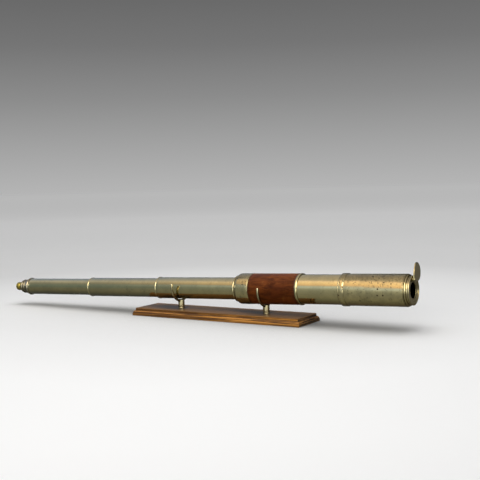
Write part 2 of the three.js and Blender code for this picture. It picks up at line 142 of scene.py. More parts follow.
class Finish(Nodes):
    """A material being made, with the coordinates that ride with the piece, and its shader."""

    def __init__(self, name, **sockets):
        self.material = bpy.data.materials.new(name)
        self.material.use_nodes = True
        super().__init__(self.material.node_tree)
        self.shader = self.tree.nodes["Principled BSDF"]
        self.place = self.coordinates.outputs["Object"]
        self.facing = self.coordinates.outputs["Normal"]
        for socket, value in sockets.items():
            self.shader.inputs[socket.replace("_", " ")].default_value = value

    def stretched(self, x, y, z):
        scale = {"Vector": self.place, "Scale": (x, y, z)}
        return self.node("ShaderNodeMapping", scale).outputs["Vector"]

    def noise(self, scale, detail=4.0, roughness=0.55, vector=None, distortion=0.0):
        inputs = {"Vector": vector or self.place, "Scale": scale, "Detail": detail,
                  "Roughness": roughness, "Distortion": distortion}
        return self.node("ShaderNodeTexNoise", inputs).outputs["Fac"]

    def spots(self, scale, vector=None):
        inputs = {"Vector": vector or self.place, "Scale": scale}
        return self.node("ShaderNodeTexVoronoi", inputs).outputs["Distance"]

    def attribute(self, name):
        return self.node("ShaderNodeAttribute", attribute_name=name).outputs["Fac"]

    def part(self, vector, axis):
        return self.node("ShaderNodeSeparateXYZ", {"Vector": vector}).outputs[axis]

    def bump(self, *layers):
        """Bump layers, each a height socket with its depth in metres."""
        normal = None
        for height, depth in layers:
            inputs = {"Height": height, "Distance": depth, "Strength": 1.0}
            if normal:
                inputs["Normal"] = normal
            normal = self.node("ShaderNodeBump", inputs).outputs["Normal"]
        self.feed(self.shader.inputs["Normal"], normal)

    def drive(self, **sockets):
        for socket, value in sockets.items():
            self.feed(self.shader.inputs[socket.replace("_", " ")], value)
        return self.material


def rgb(red, green, blue):
    return (red, green, blue, 1.0)


RIPPLE_DEPTH = 0.000005
STREAK_DEPTH = 0.000001
PIT_DEPTH = 0.00004


def pits(f):
    """Round dark pits that lie in loose clusters."""
    cluster = f.between(f.noise(24, detail=2), 0.42, 0.56)
    return f.math("MULTIPLY", f.between(f.spots(105), 0.22, 0.13), cluster)


def specks(f, grime_and_top_shade):
    """Small dark specks, more of them on upward faces, where grime lies."""
    crowding = f.math("ADD", f.noise(170, detail=3), f.math("MULTIPLY", grime_and_top_shade, 0.24))
    return f.math("MULTIPLY", f.between(f.spots(430), 0.5, 0.25), f.between(crowding, 0.52, 0.66))


def brass(name, bright, dull, dark, roughness, patina, freckles, lines=0.0000015):
    """Old brass: cloudy tarnish, drawn streaks, fine turning lines and dark specks, with dirt and painted shade in
    grooves and inner corners, and grime and painted shade on upward faces.

    roughness is that of the rubbed metal; patina and freckles say how much of each there is, 0 to 1;
    lines is the depth of the turning lines in metres."""
    f = Finish(name, Metallic=1.0)
    cloud = f.noise(38, detail=6, roughness=0.6)
    fine = f.noise(420, detail=5, roughness=0.65)
    streak = f.noise(1, detail=3, vector=f.stretched(9, 420, 420))
    wear_and_shade = f.attribute("wear_and_shade")
    # Inner corners and grooves: dirt, and a darkening there that is painted shade.
    dirt_and_corner_shade = f.between(wear_and_shade, -0.08, -0.6)
    # Upward faces: grime and specks lie there, and the darkening there is also painted shade on the tops of the
    # tubes.
    grime_and_top_shade = f.between(f.part(f.facing, "Z"), 0.35, 0.95, 0.0, freckles)
    pit = pits(f)
    marks = f.math("MAXIMUM", pit, f.math("MULTIPLY", specks(f, grime_and_top_shade), 0.8))
    marks = f.math("MULTIPLY", marks, freckles)

    tarnish = f.between(f.math("ADD", cloud, f.math("MULTIPLY", fine, 0.12)), 0.42, 0.72)
    colour = f.mixed(f.math("MULTIPLY", tarnish, 0.4 + 0.6 * patina), bright, dull)
    colour = f.mixed(f.between(streak, 0.52, 0.75, 0.0, 0.35), colour, dull)
    bloom = f.between(f.noise(95, detail=7, roughness=0.7), 0.56, 0.72, 0.0, patina * 0.75)
    colour = f.mixed(bloom, colour, dark)
    # Darker upward faces: grime and painted shade.
    colour = f.mixed(f.math("MULTIPLY", grime_and_top_shade, 0.4), colour, dark)
    colour = f.mixed(f.between(wear_and_shade, 0.1, 0.7, 0.0, 0.2), colour, bright)
    # Dark in inner corners (dirt and painted shade) and at the pits and specks.
    colour = f.mixed(f.math("MAXIMUM", f.math("MULTIPLY", dirt_and_corner_shade, 0.9), marks), colour, dark)

    soiled = f.math("MAXIMUM", f.math("MAXIMUM", bloom, dirt_and_corner_shade), marks)
    rubbed = f.between(cloud, 0.3, 0.8, roughness, roughness + 0.08)
    turned = f.noise(1, detail=2, vector=f.stretched(1500, 12, 12))
    f.bump((turned, lines), (f.noise(160, detail=1), RIPPLE_DEPTH), (streak, STREAK_DEPTH),
           (f.math("SUBTRACT", 1.0, pit), PIT_DEPTH * freckles))
    return f.drive(Base_Color=colour, Roughness=f.math("ADD", rubbed, f.math("MULTIPLY", soiled, 0.25)))


def mahogany():
    """French-polished mahogany: ribbon figure, short dark pores and amber flecks under clear polish."""
    f = Finish("mahogany", Coat_Weight=0.03, Coat_Roughness=0.08, Specular_IOR_Level=0.06)
    figure = f.noise(1, detail=5, roughness=0.6, vector=f.stretched(26, 75, 75), distortion=0.4)
    ribbon = f.noise(1, detail=3, vector=f.stretched(45, 22, 22), distortion=1.2)
    pores = f.noise(1, detail=3, roughness=0.7, vector=f.stretched(50, 800, 800))
    flecks = f.noise(1, detail=4, vector=f.stretched(120, 60, 60))
    colour = f.mixed(f.between(figure, 0.35, 0.68), rgb(0.085, 0.020, 0.0035), rgb(0.215, 0.056, 0.009))
    colour = f.mixed(f.between(ribbon, 0.45, 0.7, 0.0, 0.6), colour, rgb(0.15, 0.034, 0.007))
    colour = f.mixed(f.between(flecks, 0.6, 0.74, 0.0, 0.4), colour, rgb(0.30, 0.11, 0.025))
    colour = f.mixed(f.between(pores, 0.5, 0.66, 0.0, 0.65), colour, rgb(0.035, 0.009, 0.003))
    worn = f.between(f.attribute("wear_and_shade"), 0.15, 0.8, 0.0, 0.4)
    colour = f.mixed(worn, colour, rgb(0.05, 0.016, 0.008))
    f.bump((pores, 0.00003), (f.noise(60, detail=2), 0.0002))
    return f.drive(Base_Color=colour, Roughness=f.between(figure, 0.3, 0.7, 0.32, 0.46))


def oak():
    """Waxed oak: a dark stained top, golden moulded edges with long grain, streaky end grain, and painted shade in
    the cove.
    """
    f = Finish("oak", Coat_Weight=0.06, Coat_Roughness=0.2, Specular_IOR_Level=0.15)
    rings = f.noise(1, detail=4, roughness=0.6, vector=f.stretched(3.2, 42, 150), distortion=0.8)
    grain = f.noise(1, detail=4, roughness=0.65, vector=f.stretched(9, 330, 330))
    pores = f.noise(1, detail=3, roughness=0.7, vector=f.stretched(45, 1300, 1300))
    gold = f.mixed(f.between(rings, 0.36, 0.6), rgb(0.17, 0.068, 0.011), rgb(0.68, 0.30, 0.055))
    gold = f.mixed(f.between(grain, 0.45, 0.58, 0.0, 0.9), gold, rgb(0.08, 0.029, 0.006))
    stain = f.mixed(f.between(rings, 0.35, 0.65), rgb(0.022, 0.014, 0.008), rgb(0.074, 0.044, 0.022))
    stain = f.mixed(f.between(grain, 0.45, 0.66, 0.0, 0.7), stain, rgb(0.012, 0.008, 0.006))
    on_top = f.between(f.part(f.facing, "Z"), 0.8, 0.98)
    colour = f.mixed(on_top, gold, stain)
    end_grain = f.noise(1, detail=3, roughness=0.6, vector=f.stretched(30, 22, 330), distortion=0.4)
    at_end = f.between(f.math("ABSOLUTE", f.part(f.facing, "X")), 0.6, 0.9)
    end_colour = f.mixed(f.between(end_grain, 0.42, 0.6), rgb(0.028, 0.015, 0.007), rgb(0.40, 0.20, 0.07))
    colour = f.mixed(at_end, colour, end_colour)
    wear_and_shade = f.attribute("wear_and_shade")
    colour = f.mixed(f.between(wear_and_shade, 0.2, 0.8, 0.0, 0.35), colour, rgb(0.5, 0.25, 0.08))
    # Painted shade in the cove and the other inner corners of the moulding.
    colour = f.mixed(f.between(wear_and_shade, -0.1, -0.6, 0.0, 0.7), colour, rgb(0.05, 0.022, 0.009))
    colour = f.mixed(f.between(pores, 0.58, 0.7, 0.0, 0.6), colour, rgb(0.03, 0.014, 0.006))
    f.bump((grain, 0.00008), (pores, 0.00006))
    return f.drive(Base_Color=colour, Roughness=f.between(grain, 0.3, 0.7, 0.3, 0.5))


def blackened():
    """Matt black paint on brass, rubbed through here and there."""
    f = Finish("blackened_brass", Metallic=0.25)
    cloud = f.noise(120, detail=5, roughness=0.65)
    colour = f.mixed(f.between(cloud, 0.4, 0.7), rgb(0.008, 0.008, 0.007), rgb(0.024, 0.022, 0.017))
    rubbed = f.between(f.math("ADD", f.attribute("wear_and_shade"), cloud), 1.0, 1.5, 0.0, 0.7)
    colour = f.mixed(rubbed, colour, rgb(0.22, 0.17, 0.08))
    f.bump((f.noise(900, detail=3), 0.00003))
    return f.drive(Base_Color=colour, Roughness=f.between(cloud, 0.3, 0.7, 0.55, 0.8))


def glass():
    """Clear lens glass with a trace of dust."""
    f = Finish("glass", Transmission_Weight=1.0, IOR=1.52)
    dust = f.noise(260, detail=6, roughness=0.7)
    colour = f.mixed(f.between(dust, 0.5, 0.75), rgb(0.95, 0.98, 0.96), rgb(0.8, 0.84, 0.8))
    return f.drive(Base_Color=colour, Roughness=f.between(dust, 0.5, 0.8, 0.02, 0.12))


FINISHES = {
    "aged_brass": brass("aged_brass", bright=rgb(0.44, 0.385, 0.20), dull=rgb(0.33, 0.30, 0.165),
                        dark=rgb(0.085, 0.07, 0.035), roughness=0.065, patina=0.3, freckles=0.15),
    "spotted_brass": brass("spotted_brass", bright=rgb(0.45, 0.385, 0.195), dull=rgb(0.31, 0.275, 0.15),
                           dark=rgb(0.06, 0.047, 0.024), roughness=0.07, patina=0.7, freckles=1.0,
                           lines=0.000002),
    "dark_brass": brass("dark_brass", bright=rgb(0.27, 0.245, 0.16), dull=rgb(0.16, 0.14, 0.085),
                        dark=rgb(0.035, 0.03, 0.015), roughness=0.1, patina=0.8, freckles=0.5),
    "pale_brass": brass("pale_brass", bright=rgb(0.42, 0.37, 0.21), dull=rgb(0.23, 0.20, 0.11),
                        dark=rgb(0.07, 0.055, 0.028), roughness=0.13, patina=0.6, freckles=0.3),
    "yellow_brass": brass("yellow_brass", bright=rgb(0.46, 0.35, 0.07), dull=rgb(0.20, 0.16, 0.045),
                          dark=rgb(0.05, 0.045, 0.015), roughness=0.15, patina=0.5, freckles=0.4),
    "blackened_brass": blackened(),
    "mahogany": mahogany(),
    "oak": oak(),
    "glass": glass(),
}

# ---------------------------------------------------------------------------- mesh helpers

GENTLE = math.radians(50)  # corners that turn less than this belong to a curve
STRAIGHT = math.radians(3)  # corners that turn less than this are left alone
WEAR_AND_SHADE_REACH = 2.0  # how far from a corner its rubbing, or its dirt and painted shade, shows
SHARP = 38  # edges that turn more than this many degrees are drawn sharp
WALL_STEP = 7.0  # the longest stretch of an uneven wall without a point
# How far apart the dents of an uneven wall are: along the axis, for walls of different radius, and their
# number round it.
DENTS = {"along": 26, "radius": 90, "around": 1.3}


def turn_at(outline, i):
    """The signed angle that the outline turns by at its point i, positive where it bulges."""
    before, here = Vector(outline[i - 1]), Vector(outline[i])
    after = Vector(outline[(i + 1) % len(outline)])
    first, second = here - before, after - here
    if min(first.length, second.length) < 1e-9:
        return 0.0
    return math.atan2(first.x * second.y - first.y * second.x, first.dot(second))


def counter_clockwise(outline):
    area = sum(outline[i - 1][0] * p[1] - p[0] * outline[i - 1][1] for i, p in enumerate(outline))
    return list(outline) if area > 0 else list(reversed(outline))


def softened(outline, radius, steps=4):
    """The outline with its corners rounded: sharp ones by the radius, and gentle ones into one curve."""
    rounded = []
    for i, point in enumerate(outline):
        turn = abs(turn_at(outline, i))
        corner = Vector(point)
        back = Vector(outline[i - 1]) - corner
        ahead = Vector(outline[(i + 1) % len(outline)]) - corner
        if turn < STRAIGHT or corner.y < 1e-6:
            rounded.append(corner)
            continue
        room = 0.46 * min(back.length, ahead.length)
        cut = room if turn < GENTLE else min(radius, room)
        start, end = corner + back.normalized() * cut, corner + ahead.normalized() * cut
        for k in range(steps + 1):
            t = k / steps
            rounded.append(start * (1 - t) ** 2 + corner * 2 * t * (1 - t) + end * t * t)
    return rounded


def subdivided(outline, longest):
    """The outline with its long sides cut up, so that they can follow an uneven wall."""
    points = []
    for i, point in enumerate(outline):
        here, after = Vector(point), Vector(outline[(i + 1) % len(outline)])
        parts = max(1, math.ceil((after - here).length / longest))
        points.extend(here.lerp(after, k / parts) for k in range(parts))
    return points


def wear_and_shade_along(outline):
    """For each point of the outline: above 0 near rubbed edges, below 0 in inner corners, which the finishes
    darken as dirt and painted shade.
    """
    count = len(outline)
    turns = [turn_at(outline, i) for i in range(count)]
    wear_and_shade = []
    for i in range(count):
        total = turns[i]
        for step in (1, -1):
            distance, j = 0.0, i
            while True:
                k = (j + step) % count
                distance += (Vector(outline[k]) - Vector(outline[j])).length
                if distance > WEAR_AND_SHADE_REACH or k == i:
                    break
                total += turns[k] * (1 - distance / WEAR_AND_SHADE_REACH)
                j = k
        wear_and_shade.append(max(-1.0, min(1.0, total / (math.pi / 2))))
    return wear_and_shade


def finished(name, bm, matrix, sharp=SHARP):
    """Makes an object of the mesh, smooth apart from edges sharper than that many degrees."""
    bmesh.ops.remove_doubles(bm, verts=bm.verts, dist=1e-7)
    bmesh.ops.recalc_face_normals(bm, faces=bm.faces)
    mesh = bpy.data.meshes.new(name)
    bm.to_mesh(mesh)
    bm.free()
    mesh.shade_smooth()
    mesh.set_sharp_from_angle(angle=math.radians(sharp))
    made = bpy.data.objects.new(name, mesh)
    bpy.context.scene.collection.objects.link(made)
    made.matrix_world = matrix
    return made


def skin(bm, rings, wear_and_shade, closed):
    """Quads between neighbouring rings of points, with each ring's value of rubbing and corner shade kept on its
    points.
    """
    layer = bm.verts.layers.float.new("wear_and_shade")
    rows = []
    for ring, value in zip(rings, wear_and_shade):
        row = [bm.verts.new(point) for point in ring]
        for vertex in row:
            vertex[layer] = value
        rows.append(row)
    pairs = list(zip(rows, rows[1:])) + ([(rows[-1], rows[0])] if closed else [])
    for row, following in pairs:
        for i in range(len(row)):
            bm.faces.new((row[i - 1], row[i], following[i], following[i - 1]))
    return rows


def lathe(name, outline, matrix, around=96, uneven=0.0):
    """Turns a closed outline of (station, radius) round the X axis of the matrix's frame."""
    outline = counter_clockwise(outline)
    if uneven:
        outline = subdivided(outline, WALL_STEP)
    rings = []
    for station, radius in outline:
        ring = []
        for k in range(around):
            angle = 2 * math.pi * k / around
            side, up = math.cos(angle), math.sin(angle)
            spot = Vector((station / DENTS["along"], side * DENTS["around"],
                           up * DENTS["around"] + radius / DENTS["radius"]))
            dent = uneven * noise.noise(spot) if uneven else 0.0
            reach = (radius + dent) * MM if radius > 1e-6 else 0.0
            ring.append((station * MM, side * reach, up * reach))
        rings.append(ring)
    bm = bmesh.new()
    skin(bm, rings, wear_and_shade_along(outline), closed=True)
    bmesh.ops.dissolve_degenerate(bm, dist=1e-8, edges=bm.edges)
    return finished(name, bm, matrix)


def outline_of(node, matrix):
    """The outline that a turned CAD node was made from, as (station, radius) points in order."""
    bm = bmesh.new()
    bm.from_mesh(frame["nodes"][node].data)
    bmesh.ops.remove_doubles(bm, verts=bm.verts, dist=2e-6)
    inverse = matrix.inverted()
    spots = {v: inverse @ v.co / MM for v in bm.verts}
    section = {v for v, p in spots.items() if abs(p.y) < 0.01 and p.z > -0.01}
    neighbours = {v: [e.other_vert(v) for e in v.link_edges if e.other_vert(v) in section] for v in section}
    ends = [v for v in section if spots[v].z < 0.01]
    if ends:
        neighbours = {v: [n for n in near if not (v in ends and n in ends)] for v, near in neighbours.items()}
    start = min(ends or section, key=lambda v: (round(spots[v].x, 3), round(spots[v].z, 3)))
    path, previous = [start], None
    while True:
        onward = [v for v in neighbours[path[-1]] if v is not previous and v not in path[1:]]
        onward = [v for v in onward if v is not start or len(path) > 2]
        if not onward or onward[0] is start:
            break
        previous = path[-1]
        path.append(onward[0])
    outline = [(spots[v].x, max(0.0, spots[v].z)) for v in path]
    bm.free()
    return [p for i, p in enumerate(outline) if abs(turn_at(outline, i)) > math.radians(1) or p[1] < 1e-6]


def grooved(outline, station, width, depth):
    """The outline with a V groove turned into the outer side that passes that station."""
    points = counter_clockwise(outline)
    outer = max((i for i in range(len(points)) if spans(points, i, station)), key=lambda i: points[i][1])
    here, after = Vector(points[outer]), Vector(points[(outer + 1) % len(points)])
    sign = 1 if after.x > here.x else -1
    cut = []
    for along, sunk in ((-width / 2, 0), (0, depth), (width / 2, 0)):
        at = station + sign * along
        radius = here.y + (after.y - here.y) * (at - here.x) / (after.x - here.x)
        cut.append((at, radius - sunk))
    return points[:outer + 1] + cut + points[outer + 1:]


def spans(points, i, station):
    here, after = points[i][0], points[(i + 1) % len(points)][0]
    return abs(after - here) > 1e-6 and min(here, after) < station < max(here, after)


def combined(piece, operation, others):
    """The piece with the other objects joined to it or cut out of it; they are used up."""
    for other in others:
        step = piece.modifiers.new("combine", "BOOLEAN")
        step.operation, step.solver, step.object = operation, "EXACT", other
    bpy.context.view_layer.update()
    evaluated = piece.evaluated_get(bpy.context.evaluated_depsgraph_get())
    mesh = bpy.data.meshes.new_from_object(evaluated)
    piece.modifiers.clear()
    piece.data = mesh
    mesh.shade_smooth()
    mesh.set_sharp_from_angle(angle=math.radians(SHARP))
    for other in others:
        bpy.data.objects.remove(other)
    return piece


def joined(piece, *others):
    return combined(piece, "UNION", others)


def carved(piece, *cutters):
    return combined(piece, "DIFFERENCE", cutters)


def show(piece, node, finish):
    """The piece stands for the CAD node, rides on its body and takes the finish of that name."""
    piece.data.materials.clear()
    piece.data.materials.append(FINISHES[finish])
    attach(piece, BODY_OF[node])
    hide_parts(node)
    return piece


def box_cutter(name, low, high):
    bm = bmesh.new()
    bmesh.ops.create_cube(bm, size=1.0)
    for vertex in bm.verts:
        for k in range(3):
            vertex.co[k] = low[k] if vertex.co[k] < 0 else high[k]
    return finished(name, bm, Matrix.Identity(4))


def round_cutter(name, start, end, radius, matrix, around=32):
    """A round bar along the matrix's X axis."""
    return lathe(name, [(start, 0), (end, 0), (end, radius), (start, radius)], matrix, around)


# ---------------------------------------------------------------------------- turned pieces

# Each turned node with its finish, how much its corners are rounded, how uneven its wall is, how many
# sides it gets, and its turned lines as (distance behind its front end, width, depth).
TURNED = {
    "barrel_tube": ("aged_brass", 0.15, 0.07, 112, ()),
    "mahogany_sleeve": ("mahogany", 0.35, 0.05, 112, ()),
    "rear_collar": ("spotted_brass", 0.3, 0.05, 112, ((1.6, 0.5, 0.18),)),
    "sleeve_ring": ("aged_brass", 0.3, 0.0, 112, ()),
    "objective_cell": ("aged_brass", 0.25, 0.0, 96, ()),
    "draw_3_tube": ("aged_brass", 0.15, 0.06, 96, ()),
    "draw_3_collar": ("aged_brass", 0.3, 0.0, 96, ()),
    "draw_2_tube": ("aged_brass", 0.15, 0.06, 96, ()),
    "draw_2_collar": ("aged_brass", 0.3, 0.0, 96, ()),
    "draw_1_tube": ("aged_brass", 0.15, 0.06, 96, ()),
    "eyepiece_mount": ("dark_brass", 0.25, 0.0, 96, ()),
    "eyepiece_drum": ("dark_brass", 0.25, 0.0, 96, ()),
    "eye_cup": ("yellow_brass", 0.25, 0.0, 80, ()),
    "shade_tube": ("spotted_brass", 0.15, 0.09, 112, ()),
    "shade_rear_ring": ("spotted_brass", 0.3, 0.0, 112, ((1.9, 0.8, 0.45), (9.6, 0.6, 0.3))),
    "shade_mouth": ("spotted_brass", 0.25, 0.0, 112, ()),
    "draw_3_guide_ring": ("blackened_brass", 0.2, 0.0, 64, ()),
    "draw_2_guide_ring": ("blackened_brass", 0.2, 0.0, 64, ()),
    "draw_1_guide_ring": ("blackened_brass", 0.2, 0.0, 64, ()),
    "eyepiece_tube": ("blackened_brass", 0.15, 0.0, 64, ()),
    "field_stop": ("blackened_brass", 0.15, 0.0, 64, ()),
    "field_lens_ring": ("blackened_brass", 0.15, 0.0, 64, ()),
    "eye_lens_ring": ("blackened_brass", 0.15, 0.0, 64, ()),
    "erector_tube": ("blackened_brass", 0.2, 0.0, 64, ()),
    "erector_stop": ("blackened_brass", 0.15, 0.0, 64, ()),
    "objective_retaining_ring": ("blackened_brass", 0.2, 0.0, 96, ((1.5, 0.5, 0.25),)),
    "flint_lens": ("glass", 0.2, 0.0, 96, ()),
    "crown_lens": ("glass", 0.2, 0.0, 96, ()),
    "eye_lens": ("glass", 0.15, 0.0, 64, ()),
    "field_lens": ("glass", 0.15, 0.0, 64, ()),
    "erector_rear_lens": ("glass", 0.15, 0.0, 64, ()),
    "erector_front_lens": ("glass", 0.15, 0.0, 64, ()),
}


def turned_pieces():
    for node, (finish, rounding, uneven, around, lines) in TURNED.items():
        outline = outline_of(node, TELESCOPE)
        front = max(station for station, _ in outline)
        for behind, width, depth in lines:
            outline = grooved(outline, front - behind, width, depth)
        outline = softened(counter_clockwise(outline), rounding)
        show(lathe(f"{node}_fine", outline, TELESCOPE, around, uneven), node, finish)


turned_pieces()

# ---------------------------------------------------------------------------- end cap and shutter


def reach_of(node, matrix):
    """The node's lowest and highest station and its largest radius, in the matrix's frame."""
    inverse = matrix.inverted()
    points = [inverse @ v.co / MM for v in frame["nodes"][node].data.vertices]
    stations = [p.x for p in points]
    return min(stations), max(stations), max(math.hypot(p.y, p.z) for p in points)


def pivot_place():
    """A frame whose X axis is the shutter's pivot, with the telescope's stations."""
    pivot = Vector(JOINTS["shutter_swing"]["pos_m"])
    height = (pivot - TELESCOPE.translation).dot(ABOVE)
    return TELESCOPE @ Matrix.Translation((0, 0, height))


PIVOT = pivot_place()
LEAF_REAR, LEAF_FRONT, _ = reach_of("shutter_leaf", PIVOT)
CLEARANCE = 0.3
BOSS = {"radius": 3.4, "height": 2.4}
SCREW_HOLE = 1.6
SLOT = {"width": 0.7, "depth": 0.8, "bar": 3}
PIVOT_SCREW = {"shank": 1.3, "edge": 0.45, "shoulder": 0.95, "slot_turn": 28}
# The rounding of the leaf's rim and of its outline's corners. Points nearer the pivot than the reach of
# its hole belong to the hole.
LEAF_RIM = {"round": 0.4, "corner": 0.8, "hole": 2.5}
LEAF_DISH = 0.7  # how far the leaf's middle stands forward
LEAF_SHARES = (0.8, 0.6, 0.4, 0.2)  # the size of each ring of a face, by that of the ring outside it


def slot_cutter(matrix, station, length, turn):
    """A bar across the matrix's X axis whose rear face is at the station."""
    half = SLOT["width"] / 2
    low = Vector((station, -length, -half)) * MM
    high = Vector((station + SLOT["bar"], length, half)) * MM
    bar = box_cutter("slot", low, high)
    bar.matrix_world = matrix @ Matrix.Rotation(math.radians(turn), 4, "X")
    return bar


def cap():
    """The end cap, with a boss on its rim and a hole for the shutter's screw."""
    upside_down = TELESCOPE @ Matrix.Rotation(math.pi, 4, "X")
    outline = softened(counter_clockwise(outline_of("cap_body", upside_down)), 0.22)
    body = lathe("cap_body_fine", outline, TELESCOPE, around=128)
    top = LEAF_REAR - CLEARANCE
    foot, radius = top - BOSS["height"], BOSS["radius"]
    outline = softened(counter_clockwise([(foot, 0), (top, 0), (top, radius), (foot, radius)]), 0.25)
    boss = lathe("boss", outline, PIVOT, around=32)
    hole = round_cutter("hole", top - 12, top + 1, SCREW_HOLE, PIVOT)
    show(carved(joined(body, boss), hole), "cap_body", "spotted_brass")


def pivot_screw():
    """A round-headed screw with a slot."""
    rear, front, head = reach_of("shutter_pivot_screw", PIVOT)
    shank, under = PIVOT_SCREW["shank"], LEAF_FRONT + CLEARANCE
    outline = [(rear, 0), (rear, shank), (under, shank), (under, head), (under + PIVOT_SCREW["edge"], head),
               (under + PIVOT_SCREW["shoulder"], head * 0.8), (front, head * 0.42), (front, 0)]
    screw = lathe("shutter_pivot_screw_fine", softened(counter_clockwise(outline), 0.15), PIVOT, 40)
    slot = slot_cutter(PIVOT, front - SLOT["depth"], 5, PIVOT_SCREW["slot_turn"])
    show(carved(screw, slot), "shutter_pivot_screw", "pale_brass")


def leaf_rim():
    """The leaf's outline across its pivot, in order, and the outline's centre."""
    inverse = PIVOT.inverted()
    vertices = frame["nodes"]["shutter_leaf"].data.vertices
    points = {tuple(round(c, 3) for c in (inverse @ v.co / MM)) for v in vertices}
    rim = {(y, z) for x, y, z in points if x > LEAF_FRONT - 0.1 and math.hypot(y, z) > LEAF_RIM["hole"]}
    centre = sum((Vector(p) for p in rim), Vector((0, 0))) / len(rim)
    rim = sorted(rim, key=lambda p: math.atan2(p[1] - centre.y, p[0] - centre.x))
    return softened(rim, LEAF_RIM["corner"]), centre


def drawn_in(ring, centre, share):
    """The ring of points, drawn in towards the centre to that share of its size."""
    across, up = centre * MM
    return [(x, across + (y - across) * share, up + (z - up) * share) for x, y, z in ring]


def leaf():
    """The shutter's leaf: the CAD outline with rounded rims, very slightly dished."""
    rim, centre = leaf_rim()
    disc = max((Vector(p) - centre).length for p in rim)
    rings, wear_and_shade = [], []
    for inset, station, rubbed in rim_profile(LEAF_REAR, LEAF_FRONT, LEAF_RIM["round"]):
        rings.append(inward(rim, inset, station))
        wear_and_shade.append(rubbed)
    for share in LEAF_SHARES:
        rings = [drawn_in(rings[0], centre, share)] + rings + [drawn_in(rings[-1], centre, share)]
        wear_and_shade = [0.0] + wear_and_shade + [0.0]
    bm = bmesh.new()
    rows = skin(bm, rings, wear_and_shade, closed=False)
    bm.faces.new(rows[0])
    bm.faces.new(rows[-1])
    for vertex in bm.verts:
        away = math.hypot(vertex.co.y / MM - centre.x, vertex.co.z / MM - centre.y) / disc
        vertex.co.x += LEAF_DISH * max(0.0, 1 - away * away) * MM
    made = finished("shutter_leaf_fine", bm, PIVOT)
    hole = round_cutter("hole", LEAF_REAR - 2, LEAF_FRONT + 3, SCREW_HOLE, PIVOT)
    show(carved(made, hole), "shutter_leaf", "aged_brass")


def rim_profile(rear, front, radius, steps=3):
    """(inset, station, wear) from the rear face over a rounded rim to the front face."""
    profile = []
    for corner, sign in ((rear + radius, -1), (front - radius, 1)):
        for k in range(steps + 1):
            turn = math.pi / 2 * (k / steps if sign > 0 else 1 - k / steps)
            inset = radius * (1 - math.cos(turn))
            profile.append((inset, corner + sign * radius * math.sin(turn), 0.8))
    return profile


def inward(rim, inset, station):
    """The rim's points moved inwards by the inset, at that station."""
    ring = []
    for i, point in enumerate(rim):
        here, before, after = Vector(point), Vector(rim[i - 1]), Vector(rim[(i + 1) % len(rim)])
        along = (after - before).normalized()
        moved = here + Vector((-along.y, along.x)) * inset
        ring.append((station * MM, moved.x * MM, moved.y * MM))
    return ring


cap()
pivot_screw()
leaf()

# ---------------------------------------------------------------------------- stand


def swept(name, spine, sides=28):
    """A round rod through (centre, direction, radius) stations in the stand's frame, closed at both ends."""
    rings, wear_and_shade = [], []
    for centre, direction, radius, rubbed in spine:
        across = Vector((1, 0, 0))
        normal = direction.cross(across).normalized()
        ring = []
        for k in range(sides):
            angle = 2 * math.pi * k / sides
            ring.append((centre + (across * math.cos(angle) + normal * math.sin(angle)) * radius) * MM)
        rings.append(ring)
        wear_and_shade.append(rubbed)
    bm = bmesh.new()
    rows = skin(bm, rings, wear_and_shade, closed=False)
    bm.faces.new(rows[0])
    bm.faces.new(rows[-1])
    return finished(name, bm, Matrix.Identity(4))


ARM_STEPS, BEND_STEPS = 6, 40
TIP_THINNING = 0.1
TIP_WEAR = {"arm": 0.25, "dome": 0.6}
DOME_ANGLES = (18, 36, 54, 70, 82)


def fork_spine(x, rod, bottom, tip, half_width):
    """One arm, half a turn under the telescope and the other arm, slightly thinner towards the tips."""
    radius = half_width - rod
    centre = Vector((x, 0, bottom + rod + radius))
    arm = tip - rod - centre.z
    down, up = Vector((0, 0, -1)), Vector((0, 0, 1))
    path = [(Vector((x, -radius, centre.z + arm * (1 - k / ARM_STEPS))), down) for k in range(ARM_STEPS)]
    for k in range(BEND_STEPS + 1):
        angle = math.pi + math.pi * k / BEND_STEPS
        out = Vector((0, math.cos(angle), math.sin(angle)))
        path.append((centre + out * radius, Vector((0, -math.sin(angle), math.cos(angle)))))
    path += [(Vector((x, radius, centre.z + arm * (k + 1) / ARM_STEPS)), up) for k in range(ARM_STEPS)]
    spine = []
    for i, (point, direction) in enumerate(path):
        end = abs(2 * i / (len(path) - 1) - 1)
        spine.append((point, direction, rod * (1 - TIP_THINNING * end ** 3), TIP_WEAR["arm"] * end))
    return list(reversed(dome(spine[0], -1))) + spine + dome(spine[-1], 1)


def dome(station, sign):
    """Stations that round off a rod from that station on, along its direction or against it."""
    point, direction, size, _ = station
    stations = []
    for degrees in DOME_ANGLES:
        angle = math.radians(degrees)
        at = point + direction * (sign * size * math.sin(angle))
        stations.append((at, direction, size * math.cos(angle), TIP_WEAR["dome"]))
    return stations


FORK_LET_IN = 0.15
TROUGH_REACH = 20
POST_BORE = 2.3
POST_CHAMFER = 0.8
POST_WAIST = 0.1
# The turned foot of a post, as (height, how far it stands back from the post's full radius).
POST_FOOT = ((0, 0), (1.1, 0), (1.5, 0.35), (2.1, 0.35), (2.6, POST_WAIST))
POST_SCREW = {"shank": 2.0, "head": 4.2, "under_head": 3.7, "slot_turn": {"left": 35, "right": -20}}


def fork(side, x, rod):
    low, high = (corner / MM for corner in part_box(f"fork_{side}"))
    spine = fork_spine(x, rod, low.z, high.z, high.y)
    show(swept(f"fork_{side}_fine", spine), f"fork_{side}", "pale_brass")


